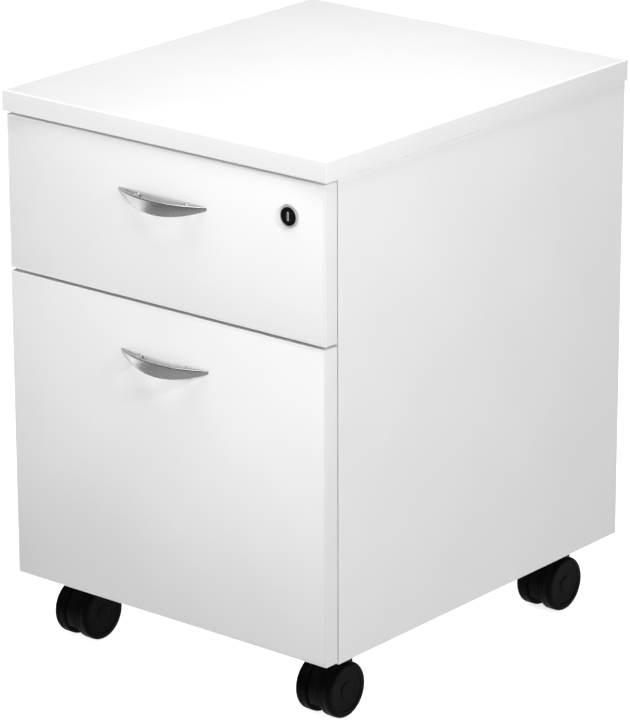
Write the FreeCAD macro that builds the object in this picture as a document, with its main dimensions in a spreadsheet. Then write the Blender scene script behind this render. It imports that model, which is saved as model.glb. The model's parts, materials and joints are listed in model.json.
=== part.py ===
"""A rolling pedestal cabinet: a board carcass on four twin-wheel castors, with a stationery drawer on roller
slides, a filing drawer on telescopic slides, bow handles, and a lock whose bar holds both drawers.

The frame: +Z up, the drawer fronts face -Y, and the origin is on the floor at the middle of the cabinet's box.
Left and right are a viewer's, who stands in front of the drawers: left is -X.
"""

import FreeCAD, Part
import math
import os
import Sketcher

Vector = FreeCAD.Vector

doc = FreeCAD.newDocument("pedestal_cabinet")


# ---- Driving dimensions, in millimetres ----

driving = [
    ("overall_height", 609, "floor to the top's upper surface"),
    ("top_width", 430, "the top, side to side"),
    ("top_depth", 500, "the top, front to rear"),
    ("top_thickness", 22, "the top"),
    ("body_width", 423, "carcass and drawer fronts, side to side"),
    ("board", 18, "thickness of the sides, base, back, front rail and drawer fronts"),
    ("edge_chamfer", 0.8, "edge of the top and of the drawer fronts"),
    ("front_setback", 2.8, "the top's front edge to the drawer fronts' face"),
    ("rear_setback", 0.7, "the carcass's rear to the top's rear edge"),
    ("buffer_gap", 1, "a closed drawer front to the carcass's front edge"),
    ("reveal", 3, "gap above each drawer front"),
    ("stationery_front_height", 165.5, "upper drawer front"),
    ("front_lift", 1.8, "the carcass's bottom to the lower front's bottom edge"),
    ("rail_depth", 80, "front rail under the top, front to rear"),
    ("nut_radius", 7.5, "cam nut"),
    ("nut_depth", 13.5, "cam nut, along its axis"),
    ("nut_setback", 24, "cam nut's centre to the end of its board"),
    ("bolt_radius", 3, "cam bolt"),
    ("bolt_bite", 11, "cam bolt's thread in the board"),
    ("bore_ease", 0.1, "radial room round a fixed piece in its bore"),
    ("running_ease", 0.1, "radial room round a pin that turns"),
    ("steel", 1.2, "sheet of the slides and of the drawer sides"),
    ("thin_board", 12, "drawer bases and backs"),
    ("slide_space", 12.7, "side panel to drawer side"),
    ("slide_length", 450, "every slide"),
    ("slide_setback", 2, "the carcass's front edge to the slides"),
    ("box_length", 440, "drawer boxes, front to rear"),
    ("base_flange", 16.2, "drawer side's flange under the base, with the sheet's own thickness"),
    ("hem", 7.2, "drawer side's hem over its top edge, with the sheet's own thickness"),
    ("stationery_bottom", 432, "level of the upper box's underside"),
    ("stationery_side", 86, "height of the upper box's sides"),
    ("filing_bottom", 104, "level of the lower box's underside"),
    ("filing_side", 268, "height of the lower box's sides"),
    ("channel_drop", 2, "the roller slide's channel, below the upper box's underside"),
    ("channel_height", 27.2, "roller slide's channel"),
    ("channel_reach", 10.5, "width of the channel's flanges"),
    ("roller_radius", 12, "slide rollers"),
    ("roller_width", 6, "slide rollers"),
    ("roller_pin", 2.5, "radius of the rollers' pins"),
    ("roller_inset", 16, "a roller's centre to the end of its slide or box"),
    ("roller_gap", 0.4, "room between a roller and its track"),
    ("telescope_level", 170, "middle of the telescopic slides"),
    ("telescope_outer", 45, "height of the slide's cabinet member"),
    ("telescope_middle", 36, "height of the slide's middle member"),
    ("telescope_inner", 28, "height of the slide's drawer member"),
    ("handle_span", 118.4, "bow handle, tip to tip"),
    ("handle_reach", 18.2, "bow handle, out from the drawer front"),
    ("handle_height", 16, "bow handle at its middle"),
    ("handle_tip", 5, "bow handle's height at its tips"),
    ("handle_wall", 3.5, "thickness of the bow"),
    ("handle_tuck", 3, "how far the bow's lower edge is drawn in"),
    ("handle_centres", 64, "between the two fixing posts"),
    ("post_radius", 4, "fixing posts"),
    ("post_drop", 5.5, "handle's upper edge to the posts' axis"),
    ("handle_drop_upper", 75.3, "top's surface to the upper handle's upper edge"),
    ("handle_drop_lower", 246.5, "top's surface to the lower handle's upper edge"),
    ("lock_across", 165.8, "lock's axis from the middle"),
    ("lock_drop", 64, "top's surface to the lock's axis"),
    ("lock_face", 9.3, "radius of the plug's round face"),
    ("lock_flange", 12.5, "radius of the housing's flange"),
    ("lock_barrel", 9, "radius of the housing's barrel"),
    ("plug_radius", 6, "the plug inside the barrel"),
    ("lock_throw", 4, "the cam pin's distance from the lock's axis, half of the bar's lift"),
    ("cam_pin", 2, "radius of the cam's pin"),
    ("bar_setback", 15.1, "the carcass's front edge to the lock bar's middle"),
    ("bar_width", 12, "lock bar, front to rear"),
    ("bar_thickness", 3, "lock bar"),
    ("groove_depth", 6, "the lock bar's groove in the right side panel"),
    ("groove_width", 16, "the same groove, front to rear"),
    ("catch_upper", 490.5, "lower edge of the upper drawer's catch tab"),
    ("catch_lower", 300.5, "lower edge of the lower drawer's catch tab"),
    ("castor_height", 77.5, "floor to the carcass's bottom"),
    ("castor_side_inset", 44.4, "carcass's side to the castors' pins"),
    ("castor_front_inset", 58.7, "carcass's front edge to the front castors' pins"),
    ("castor_rear_inset", 42.2, "carcass's rear to the rear castors' pins"),
    ("castor_trail", 18, "the axle's distance from the pin"),
    ("wheel_radius", 30, "castor wheels"),
    ("wheel_width", 15, "castor wheels"),
    ("wheel_gap", 0.5, "housing to wheel"),
    ("hood_width", 15, "castor housing between its wheels"),
    ("hood_radius", 28.5, "castor housing round the axle"),
    ("axle_radius", 3, "castor axle"),
    ("swivel_radius", 4, "castor's swivel pin"),
    ("plate_side", 44, "castor's plate"),
    ("plate_thickness", 2.5, "castor's plate"),
    ("plate_screws", 32, "between the plate's screws"),
]

sheet = doc.addObject("Spreadsheet::Sheet", "Dimensions")
for row, (alias, number, note) in enumerate(driving, start=1):
    sheet.set(f"A{row}", note)
    sheet.set(f"B{row}", str(number))
    sheet.setAlias(f"B{row}", alias)
doc.recompute()


class Size:
    """A number, with the sheet expression that gives it, so that each formula is written once."""

    def __init__(self, number, text):
        self.number = float(number)
        self.text = text

    def __float__(self):
        return self.number

    def __add__(self, other):
        other = as_size(other)
        return Size(self.number + other.number, f"({self.text} + {other.text})")

    def __sub__(self, other):
        other = as_size(other)
        return Size(self.number - other.number, f"({self.text} - {other.text})")

    def __mul__(self, other):
        other = as_size(other)
        return Size(self.number * other.number, f"({self.text} * {other.text})")

    def __truediv__(self, other):
        other = as_size(other)
        return Size(self.number / other.number, f"({self.text} / {other.text})")

    def __radd__(self, other):
        return as_size(other) + self

    def __rsub__(self, other):
        return as_size(other) - self

    def __rmul__(self, other):
        return as_size(other) * self

    def __neg__(self):
        return self * -1


def as_size(value):
    if isinstance(value, Size):
        return value
    return Size(value, f"({float(value)})")


def root(value):
    return Size(math.sqrt(value.number), f"sqrt({value.text})")


def cell(alias):
    return Size(sheet.get(alias), f"Dimensions.{alias}")


# ---- Levels and planes that several pieces share ----

overall_height = cell("overall_height")
board = cell("board")
steel = cell("steel")
thin_board = cell("thin_board")
bore_ease = cell("bore_ease")
running_ease = cell("running_ease")

top_under = overall_height - cell("top_thickness")
carcass_bottom = cell("castor_height")
bow_overhang = cell("handle_reach") - cell("front_setback")
top_front = (bow_overhang - cell("top_depth")) / 2
top_rear = top_front + cell("top_depth")
front_face = top_front + cell("front_setback")
front_back = front_face + board
carcass_front = front_back + cell("buffer_gap")
carcass_rear = top_rear - cell("rear_setback")
back_inner = carcass_rear - board
panel_out = cell("body_width") / 2
panel_in = panel_out - board

upper_front_top = top_under - cell("reveal")
upper_front_bottom = upper_front_top - cell("stationery_front_height")
lower_front_top = upper_front_bottom - cell("reveal")
lower_front_bottom = carcass_bottom + cell("front_lift")

side_out = panel_in - cell("slide_space")
side_in = side_out - steel
box_rear = front_back + cell("box_length")
slide_front = carcass_front + cell("slide_setback")

# Cam fittings: two per corner joint, one at each end of the front rail.
nut_setback = cell("nut_setback")
base_fixings = [carcass_front + 110, back_inner - 114]
top_fixings = [carcass_front + 96, back_inner - 74]
back_fixings = [carcass_bottom + 70, top_under - 70]
rail_fixing = carcass_front + cell("rail_depth") / 2


# ---- Helpers: bodies whose features are given in the cabinet's frame ----

# For each origin plane: its role, the axes that run across and up it and out of it, and its normal's sense.
planes = {
    "XY": ("XY_Plane", 0, 1, 2, 1),
    "XZ": ("XZ_Plane", 0, 2, 1, -1),
    "YZ": ("YZ_Plane", 1, 2, 0, 1),
}
places = {}
nodes = []


def bind(thing, prop, value):
    thing.setExpression(prop, as_size(value).text)


def put(thing, place):
    """Sets where a piece's own origin is."""
    for axis, value in zip("xyz", place):
        bind(thing, f"Placement.Base.{axis}", value)


def new_body(label, place, kept=True):
    body = doc.addObject("PartDesign::Body", label)
    body.Label = label
    places[body.Name] = [as_size(value) for value in place]
    put(body, place)
    if kept:
        nodes.append(body)
    return body


def flat(point):
    return Vector(float(point[0]), float(point[1]), 0)


def arc_between(start, end, radius):
    """The shorter arc from start to end; a positive radius turns anticlockwise."""
    chord = end - start
    half = chord.Length / 2
    sagitta = abs(radius) - math.sqrt(max(radius * radius - half * half, 0))
    bulge = Vector(chord.y, -chord.x, 0).normalize() * math.copysign(sagitta, radius)
    return Part.Arc(start, (start + end) / 2 + bulge, end)


def draw_outline(sketch, steps):
    """A closed outline. A step is (across, up), or (across, up, radius) where an arc ends there."""
    first = sketch.GeometryCount
    for index, step in enumerate(steps):
        start = flat(steps[index - 1])
        end = flat(step)
        if len(step) == 3:
            edge = arc_between(start, end, float(step[2]))
        else:
            edge = Part.LineSegment(start, end)
        sketch.addGeometry(edge, False)
    for index, step in enumerate(steps):
        edge = first + index
        following = steps[(index + 1) % len(steps)]
        next_edge = first + (index + 1) % len(steps)
        end_vertex = 1 if len(step) == 3 and float(step[2]) < 0 else 2
        next_vertex = 2 if len(following) == 3 and float(following[2]) < 0 else 1
        sketch.addConstraint(Sketcher.Constraint("Coincident", edge, end_vertex, next_edge, next_vertex))
        dimension(sketch, "DistanceX", step[0], -1, 1, edge, end_vertex)
        dimension(sketch, "DistanceY", step[1], -1, 1, edge, end_vertex)
        if len(step) == 3:
            radius = as_size(step[2])
            dimension(sketch, "Radius", radius if radius.number > 0 else -radius, edge)


def draw_circle(sketch, across, up, radius):
    circle = Part.Circle(Vector(float(across), float(up), 0), Vector(0, 0, 1), float(radius))
    index = sketch.addGeometry(circle, False)
    dimension(sketch, "DistanceX", across, -1, 1, index, 3)
    dimension(sketch, "DistanceY", up, -1, 1, index, 3)
    dimension(sketch, "Radius", radius, index)


def dimension(sketch, kind, value, *where):
    value = as_size(value)
    number = sketch.addConstraint(Sketcher.Constraint(kind, *where, value.number))
    sketch.setExpression(f"Constraints[{number}]", value.text)


def new_sketch(body, plane, level, shapes):
    """A sketch on a plane parallel to one of the body's origin planes, at a level in the cabinet's frame."""
    role, across_axis, up_axis, out_axis, sense = planes[plane]
    own = places[body.Name]
    sketch = body.newObject("Sketcher::SketchObject", f"{body.Name}_sketch")
    support = [feature for feature in body.Origin.OriginFeatures if feature.Role == role][0]
    sketch.AttachmentSupport = [(support, "")]
    sketch.MapMode = "FlatFace"
    bind(sketch, "AttachmentOffset.Base.z", (as_size(level) - own[out_axis]) * sense)
    for shape in shapes:
        if shape[0] == "circle":
            _, across, up, radius = shape
            draw_circle(sketch, across - own[across_axis], up - own[up_axis], radius)
        else:
            steps = [(step[0] - own[across_axis], step[1] - own[up_axis], *step[2:]) for step in shape]
            draw_outline(sketch, steps)
    return sketch


def rectangle(left, right, low, high):
    return [(left, low), (right, low), (right, high), (left, high)]


def circle(across, up, radius):
    return ("circle", across, up, radius)


def pad(body, plane, level, shapes, length, toward):
    """Adds material from a level, toward +1 or -1 along the plane's world axis, or 0 for both sides alike."""
    feature = body.newObject("PartDesign::Pad", f"{body.Name}_pad")
    feature.Profile = new_sketch(body, plane, level, shapes)
    bind(feature, "Length", length)
    if toward == 0:
        feature.SideType = "Symmetric"
    else:
        feature.Reversed = toward * planes[plane][4] < 0
    return feature


def pocket(body, plane, level, shapes, depth, toward):
    """Takes material away from a level, toward +1 or -1 along the plane's world axis."""
    doc.recompute()
    before = body.Shape.Volume
    feature = body.newObject("PartDesign::Pocket", f"{body.Name}_pocket")
    feature.Profile = new_sketch(body, plane, level, shapes)
    bind(feature, "Length", depth)
    feature.Reversed = toward * planes[plane][4] > 0
    doc.recompute()
    if not body.Shape.Volume < before - 0.1:
        raise RuntimeError(f"a pocket in {body.Label} cuts nothing")
    return feature


def revolve(body, axis, steps):
    """Turns an outline drawn on the XY plane about the X or the Y axis through the body's own origin."""
    own = places[body.Name]
    feature = body.newObject("PartDesign::Revolution", f"{body.Name}_turning")
    sketch = new_sketch(body, "XY", own[2], [steps])
    feature.Profile = sketch
    feature.ReferenceAxis = (sketch, ["H_Axis" if axis == "X" else "V_Axis"])
    feature.Angle = 360
    return feature


def chamfer_all(body, size):
    """Breaks every edge that the body has so far."""
    doc.recompute()
    base = body.Tip
    feature = body.newObject("PartDesign::Chamfer", f"{body.Name}_chamfer")
    feature.Base = (base, [f"Edge{number + 1}" for number in range(len(base.Shape.Edges))])
    bind(feature, "Size", size)
    return feature


def box_board(label, across, along, up, chamfer=None):
    """A board between two limits on each axis, placed by its lowest corner."""
    body = new_body(label, (across[0], along[0], up[0]))
    pad(body, "XY", up[0], [rectangle(*across, *along)], up[1] - up[0], 1)
    if chamfer:
        chamfer_all(body, chamfer)
    return body


def gather(label, pairs):
    """One node of separate pieces, from pairs of a master and the frame that its shape is set in."""
    doc.recompute()
    group = doc.addObject("Part::Feature", label)
    group.Label = label
    solids = []
    for master, frame in pairs:
        solid = master.Shape.copy()
        solid.Placement = frame.multiply(solid.Placement)
        solids.append(solid)
    group.Shape = Part.makeCompound(solids)
    group.Placement = FreeCAD.Placement()
    nodes.append(group)
    return group


def copies(label, master, frames):
    """One node of identical separate pieces: the master's shape at each frame."""
    return gather(label, [(master, frame) for frame in frames])


def frame_at(place, x_axis, z_axis):
    """A frame at a place, with its own X and Z axes along the given directions."""
    across = Vector(*x_axis)
    up = Vector(*z_axis)
    rotation = FreeCAD.Rotation(across, up.cross(across), up, "ZXY")
    return FreeCAD.Placement(Vector(*[float(value) for value in place]), rotation)


# ---- Carcass ----

slide_screw_steps = [60, 225, 400]
channel_bottom = cell("stationery_bottom") - cell("channel_drop")
channel_top = channel_bottom + cell("channel_height")
track_top = channel_bottom + steel
drawer_roller_level = track_top + cell("roller_radius") + cell("roller_gap")
cabinet_roller_level = channel_bottom + 17
runner_level = cabinet_roller_level + cell("roller_radius") + cell("roller_gap") - 0.1
telescope_level = cell("telescope_level")
slide_screws = [
    (slide_front + step, level)
    for level in (drawer_roller_level, telescope_level)
    for step in slide_screw_steps
]

lock_level = overall_height - cell("lock_drop")
bar_middle = carcass_front + cell("bar_setback")
bar_bottom = cell("catch_lower") - 20.5
bar_screws = [cell("catch_lower") + 29.5, cell("catch_upper") + 25.5]
bar_top = lock_level + 3.5
screw_shank = as_size(1.75)
screw_bore = screw_shank + bore_ease


def side_panel(label, hand):
    """A side board: cam nuts and rail screws in its inner face, and the lock bar's groove in the right one."""
    inner = panel_in * hand
    body = new_body(label, (inner, carcass_front, carcass_bottom))
    pad(body, "YZ", inner, [rectangle(carcass_front, carcass_rear, carcass_bottom, top_under)], board, hand)
    threads = [(along, carcass_bottom + board / 2) for along in base_fixings]
    threads += [(carcass_rear - board / 2, level) for level in back_fixings]
    threads.append((rail_fixing, top_under - board / 2))
    thread_bores = [circle(along, level, cell("bolt_radius") + bore_ease) for along, level in threads]
    pocket(body, "YZ", inner, thread_bores, cell("bolt_bite") + 0.5, hand)
    nut_bores = [circle(along, top_under - nut_setback, cell("nut_radius") + bore_ease) for along in top_fixings]
    pocket(body, "YZ", inner, nut_bores, cell("nut_depth") + 0.5, hand)
    channels = [circle(inner + board / 2 * hand, along, cell("bolt_radius") + 0.6) for along in top_fixings]
    pocket(body, "XY", top_under, channels, nut_setback, -1)
    pocket(body, "YZ", inner, [circle(along, level, screw_bore) for along, level in slide_screws], as_size(14), hand)
    if hand > 0:
        half = cell("groove_width") / 2
        groove = rectangle(bar_middle - half, bar_middle + half, bar_bottom - 10, bar_top + 14)
        pocket(body, "YZ", inner, [groove], cell("groove_depth"), hand)
        bores = [circle(bar_middle, level, screw_bore) for level in bar_screws]
        pocket(body, "YZ", inner + cell("groove_depth"), bores, as_size(8), hand)
    return body


def ends_of(body, along, level, depth):
    """Channels for the cam bolts, in from both ends of a board between the sides."""
    shapes = [circle(position, level, cell("bolt_radius") + 0.6) for position in along]
    for hand in (-1, 1):
        pocket(body, "YZ", panel_in * hand, shapes, depth, -hand)


def nut_bores_at(positions):
    return [circle(across, other, cell("nut_radius") + bore_ease) for across, other in positions]


castor_across = panel_out - cell("castor_side_inset")
castor_alongs = {
    "front": carcass_front + cell("castor_front_inset"),
    "rear": carcass_rear - cell("castor_rear_inset"),
}
castor_pins = [(castor_across * hand, along) for along in castor_alongs.values() for hand in (-1, 1)]
plate_corners = [(across, along) for across in (-0.5, 0.5) for along in (-0.5, 0.5)]
castor_screw_points = [
    (across + cell("plate_screws") * corner[0], along + cell("plate_screws") * corner[1])
    for across, along in castor_pins
    for corner in plate_corners
]
top_across = (-cell("top_width") / 2, cell("top_width") / 2)
between_sides = (-panel_in, panel_in)

top_panel = box_board("top_panel", top_across, (top_front, top_rear), (top_under, overall_height), cell("edge_chamfer"))
top_threads = [
    circle((panel_in + board / 2) * hand, along, cell("bolt_radius") + bore_ease)
    for hand in (-1, 1)
    for along in top_fixings
]
pocket(top_panel, "XY", top_under, top_threads, cell("bolt_bite") + 0.5, 1)

side_panel("left_side_panel", -1)
side_panel("right_side_panel", 1)

base_panel = box_board(
    "base_panel", between_sides, (carcass_front, back_inner), (carcass_bottom, carcass_bottom + board)
)
base_nuts = [((panel_in - nut_setback) * hand, along) for hand in (-1, 1) for along in base_fixings]
pocket(base_panel, "XY", carcass_bottom, nut_bores_at(base_nuts), cell("nut_depth") + 0.5, 1)
ends_of(base_panel, base_fixings, carcass_bottom + board / 2, nut_setback)
pilot_bores = [circle(across, along, screw_bore) for across, along in castor_screw_points]
pocket(base_panel, "XY", carcass_bottom, pilot_bores, as_size(13), 1)

back_panel = box_board("back_panel", between_sides, (back_inner, carcass_rear), (carcass_bottom, top_under))
back_nuts = [((panel_in - nut_setback) * hand, level) for hand in (-1, 1) for level in back_fixings]
pocket(back_panel, "XZ", back_inner, nut_bores_at(back_nuts), cell("nut_depth") + 0.5, 1)
for fixing in back_fixings:
    ends_of(back_panel, [carcass_rear - board / 2], fixing, nut_setback)

front_rail = box_board(
    "front_rail", between_sides, (carcass_front, carcass_front + cell("rail_depth")), (top_under - board, top_under)
)
rail_nuts = [((panel_in - nut_setback) * hand, rail_fixing) for hand in (-1, 1)]
pocket(front_rail, "XY", top_under - board, nut_bores_at(rail_nuts), cell("nut_depth") + 0.5, 1)
ends_of(front_rail, [rail_fixing], top_under - board / 2, nut_setback)


# ---- Cam nuts and bolts ----

# A nut's own frame: +Z out of its open face, the bolt comes from -X. A bolt's own frame: its shank leaves along +X.
nut_frames = []
bolt_frames = []
for hand in (-1, 1):
    inward = (-hand, 0, 0)
    edge = panel_in * hand
    nut_across = (panel_in - nut_setback) * hand
    for along in base_fixings:
        nut_frames.append(frame_at((nut_across, along, carcass_bottom), inward, (0, 0, -1)))
        bolt_frames.append(frame_at((edge, along, carcass_bottom + board / 2), inward, (0, 0, 1)))
    nut_frames.append(frame_at((nut_across, rail_fixing, top_under - board), inward, (0, 0, -1)))
    bolt_frames.append(frame_at((edge, rail_fixing, top_under - board / 2), inward, (0, 0, 1)))
    for level in back_fixings:
        nut_frames.append(frame_at((nut_across, back_inner, level), inward, (0, -1, 0)))
        bolt_frames.append(frame_at((edge, carcass_rear - board / 2, level), inward, (0, 0, 1)))
    for along in top_fixings:
        nut_frames.append(frame_at((edge, along, top_under - nut_setback), (0, 0, -1), inward))
        bolt_frames.append(frame_at(((panel_in + board / 2) * hand, along, top_under), (0, 0, -1), inward))

nut = new_body("cam_nut_master", (0, 0, 0), kept=False)
pad(nut, "XY", as_size(0), [circle(as_size(0), as_size(0), cell("nut_radius"))], cell("nut_depth"), -1)
bolt_room = [circle(as_size(0), -board / 2, cell("bolt_radius") + 0.8)]
pocket(nut, "YZ", -cell("nut_radius") - 1, bolt_room, cell("nut_radius") + 4, 1)
driver_arm = cell("nut_radius") * 0.6
slot_half = as_size(0.8)
driver_cross = [
    rectangle(-driver_arm, driver_arm, -slot_half, slot_half),
    rectangle(-slot_half, slot_half, -driver_arm, driver_arm),
]
for arm in driver_cross:
    pocket(nut, "XY", as_size(0), [arm], as_size(2), -1)
copies("cam_nuts", nut, nut_frames)

bolt = new_body("cam_bolt_master", (0, 0, 0), kept=False)
bolt_radius = cell("bolt_radius")
neck_radius = bolt_radius - 1
bolt_profile = [
    (-cell("bolt_bite"), as_size(0)),
    (nut_setback + 2, as_size(0)),
    (nut_setback + 2, bolt_radius + 0.2),
    (nut_setback - 0.5, bolt_radius + 0.2),
    (nut_setback - 1, neck_radius),
    (nut_setback - 4, neck_radius),
    (nut_setback - 4.5, bolt_radius),
    (-cell("bolt_bite") + 1, bolt_radius),
    (-cell("bolt_bite"), neck_radius),
]
revolve(bolt, "X", bolt_profile)
copies("cam_bolts", bolt, bolt_frames)


# ---- Screws ----


def screw_master(label, length, head_radius, head_height):
    """A screw along +X from the face that its head sits on, the head behind it."""
    body = new_body(label, (0, 0, 0), kept=False)
    tip = as_size(length)
    profile = [
        (as_size(-head_height), as_size(0)),
        (tip, as_size(0)),
        (tip - 2, screw_shank),
        (as_size(0), screw_shank),
        (as_size(0), as_size(head_radius)),
        (as_size(-head_height), as_size(head_radius - 0.6)),
    ]
    revolve(body, "X", profile)
    return body


# Pan heads would foul the rollers, so the slides' screws have thin flat heads.
slide_screw = screw_master("slide_screw_master", 13, 3.5, 0.8)
slide_screw_frames = [
    frame_at(((panel_in - steel) * hand, along, level), (hand, 0, 0), (0, 0, 1))
    for hand in (-1, 1)
    for along, level in slide_screws
]
copies("rail_screws", slide_screw, slide_screw_frames)

plate_thickness = cell("plate_thickness")
castor_screw = screw_master("castor_screw_master", 14, 3.6, 2)
castor_screw_frames = [
    frame_at((across, along, carcass_bottom - plate_thickness), (0, 0, 1), (1, 0, 0))
    for across, along in castor_screw_points
]
copies("castor_screws", castor_screw, castor_screw_frames)


# ---- Roller slides of the stationery drawer ----

roller_radius = cell("roller_radius")
roller_pin = cell("roller_pin")
pin_length = cell("slide_space") - 3.2
roller_across = side_out + 5.5


def roller(label, hand, along, level):
    """A slide roller with a bore that runs on its pin."""
    body = new_body(label, (roller_across * hand, along, level))
    half = cell("roller_width") / 2
    centre, axis = places[body.Name][0], places[body.Name][1]
    bore = roller_pin + running_ease
    profile = [
        (centre - half, axis + bore),
        (centre + half, axis + bore),
        (centre + half, axis + roller_radius - 1),
        (centre + half - 1, axis + roller_radius),
        (centre - half + 1, axis + roller_radius),
        (centre - half, axis + roller_radius - 1),
    ]
    revolve(body, "X", profile)


def cabinet_channel(label, hand):
    """The roller slide's channel, open toward the drawer, with the front roller's pin."""
    web = panel_in * hand
    reach = cell("channel_reach")
    body = new_body(label, (web, slide_front, channel_bottom))
    profile = [
        (web, channel_bottom),
        (web, channel_top),
        (web - reach * hand, channel_top),
        (web - reach * hand, channel_top - steel),
        (web - steel * hand, channel_top - steel),
        (web - steel * hand, channel_bottom + steel),
        (web - reach * hand, channel_bottom + steel),
        (web - reach * hand, channel_bottom),
    ]
    pad(body, "XZ", slide_front, [profile], cell("slide_length"), 1)
    notch_inner = web - (reach + 1) * hand
    notch = [
        (web - steel * hand, slide_front - 1),
        (notch_inner, slide_front - 1),
        (notch_inner, slide_front + 32),
        (web - steel * hand, slide_front + 32),
    ]
    pocket(body, "XY", channel_top + 1, [notch], steel + 1.5, -1)
    holes = [
        circle(along, level, screw_bore)
        for along, level in slide_screws[: len(slide_screw_steps)]
    ]
    pocket(body, "YZ", web, holes, steel + 1, -hand)
    pin = circle(slide_front + cell("roller_inset"), cabinet_roller_level, roller_pin)
    pad(body, "YZ", web - steel * hand, [pin], pin_length, -hand)


for side, hand in (("left", -1), ("right", 1)):
    cabinet_channel(f"upper_{side}_cabinet_rail", hand)
    roller(f"upper_{side}_cabinet_roller", hand, slide_front + cell("roller_inset"), cabinet_roller_level)
    roller(f"upper_{side}_drawer_roller", hand, box_rear - cell("roller_inset"), drawer_roller_level)


# ---- Telescopic slides of the filing drawer ----


def telescope_member(label, hand, web_gap, opening, height, depth):
    """One member: a channel whose web is web_gap from the side panel, opening toward the drawer or the panel."""
    near = (panel_in - web_gap) * hand
    toward = -hand * opening
    half = as_size(height) / 2
    body = new_body(label, (near, slide_front, telescope_level))
    lip = near + as_size(depth) * toward
    inner = near + steel * toward
    profile = [
        (near, telescope_level - half),
        (lip, telescope_level - half),
        (lip, telescope_level - half + steel),
        (inner, telescope_level - half + steel),
        (inner, telescope_level + half - steel),
        (lip, telescope_level + half - steel),
        (lip, telescope_level + half),
        (near, telescope_level + half),
    ]
    pad(body, "XZ", slide_front, [profile], cell("slide_length"), 1)
    return body


for side, hand in (("left", -1), ("right", 1)):
    outer = telescope_member(f"lower_{side}_cabinet_rail", hand, 0, 1, cell("telescope_outer"), 11)
    screw_holes = [
        circle(along, level, screw_bore)
        for along, level in slide_screws[len(slide_screw_steps) :]
    ]
    pocket(outer, "YZ", panel_in * hand, screw_holes, steel + 1, -hand)
    telescope_member(f"lower_{side}_middle_rail", hand, 3.1, 1, cell("telescope_middle"), 8.4)
    telescope_member(f"lower_{side}_drawer_rail", hand, cell("slide_space"), -1, cell("telescope_inner"), 6.7)


# ---- Drawer boxes ----

flange_screw_reach = as_size(12)
catch_height = as_size(11.5)
catch_front = bar_middle + 3
peg_height = as_size(8)
peg_drop = as_size(1.5)
peg_gap = as_size(6.4)


def steel_side(label, hand, bottom, height, runner, front_screws):
    """A folded drawer side: a flange under the base, a hem on top, and a runner where the rollers carry it."""
    web_out = side_out * hand
    web_in = side_in * hand
    top = bottom + height
    body = new_body(label, (web_out, front_back, bottom))
    flange_end = web_out - cell("base_flange") * hand
    hem_end = web_in + cell("hem") * hand
    profile = [(flange_end, bottom), (web_out, bottom)]
    if runner:
        runner_end = web_out + 9.5 * hand
        profile += [
            (web_out, runner_level),
            (runner_end, runner_level),
            (runner_end, runner_level + steel * 2),
            (web_out, runner_level + steel * 2),
        ]
    profile += [
        (web_out, top - steel),
        (hem_end, top - steel),
        (hem_end, top),
        (web_in, top),
        (web_in, bottom + steel),
        (flange_end, bottom + steel),
    ]
    pad(body, "XZ", front_back, [profile], cell("box_length"), 1)
    bracket = [
        (web_in, front_screws[0] - 12),
        (flange_end, front_screws[0] - 12),
        (flange_end, front_screws[1] + 12),
        (web_in, front_screws[1] + 12),
    ]
    pad(body, "XZ", front_back, [bracket], steel, 1)
    across = (web_in + flange_end) / 2
    pocket(body, "XZ", front_back, [circle(across, level, screw_bore) for level in front_screws], steel, 1)
    if runner:
        pin = circle(box_rear - cell("roller_inset"), drawer_roller_level, roller_pin)
        pad(body, "YZ", web_out, [pin], pin_length, hand)
    return body


def catch_tab(body, low):
    """The tab that the lock bar's peg stands in front of."""
    tab = rectangle(catch_front, catch_front + 2, low, low + catch_height)
    pad(body, "YZ", side_out, [tab], as_size(9.7), 1)


box_across = (-(side_in - 0.2), side_in - 0.2)


def drawer_box(name, bottom, height, runner, catch_low, front_screws, back_height):
    for side, hand in (("left", -1), ("right", 1)):
        body = steel_side(f"{name}_{side}_side", hand, bottom, height, runner, front_screws)
        if hand > 0:
            catch_tab(body, catch_low)
    base_top = bottom + steel + thin_board
    box_board(f"{name}_base", box_across, (front_back, box_rear), (bottom + steel, base_top))
    return box_board(f"{name}_back", box_across, (box_rear - thin_board, box_rear), (base_top, bottom + back_height))


stationery_bottom = cell("stationery_bottom")
filing_bottom = cell("filing_bottom")
stationery_screw_levels = [stationery_bottom + 35, stationery_bottom + 65]
filing_screw_levels = [filing_bottom + 60, filing_bottom + 180]
drawer_box(
    "stationery",
    stationery_bottom,
    cell("stationery_side"),
    True,
    cell("catch_upper"),
    stationery_screw_levels,
    cell("stationery_side") - 2,
)
filing_back = drawer_box(
    "filing",
    filing_bottom,
    cell("filing_side"),
    False,
    cell("catch_lower"),
    filing_screw_levels,
    cell("filing_side") - 2,
)

# Two bars for hanging files, from a tab on the filing front to a slot in the filing back.
file_bar_across = as_size(165)
file_bar_half = as_size(1.5)
file_bar_bottom = filing_bottom + cell("filing_side") - 10
file_bar = new_body("file_bar_master", (0, front_back, file_bar_bottom), kept=False)
bar_section = rectangle(-file_bar_half, file_bar_half, file_bar_bottom, file_bar_bottom + 12)
pad(file_bar, "XZ", front_back, [bar_section], cell("box_length"), 1)
bar_tab = rectangle(as_size(-8), as_size(8), file_bar_bottom - 8, file_bar_bottom + 12)
pad(file_bar, "XZ", front_back, [bar_tab], as_size(1.5), 1)
bar_frames = [frame_at((file_bar_across * hand, 0, 0), (1, 0, 0), (0, 0, 1)) for hand in (-1, 1)]
copies("file_rails", file_bar, bar_frames)
file_bar_slots = [
    rectangle(
        file_bar_across * hand - file_bar_half - bore_ease,
        file_bar_across * hand + file_bar_half + bore_ease,
        file_bar_bottom - 0.1,
        filing_bottom + cell("filing_side"),
    )
    for hand in (-1, 1)
]
pocket(filing_back, "XZ", box_rear - thin_board - 1, file_bar_slots, thin_board + 2, 1)


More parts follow.
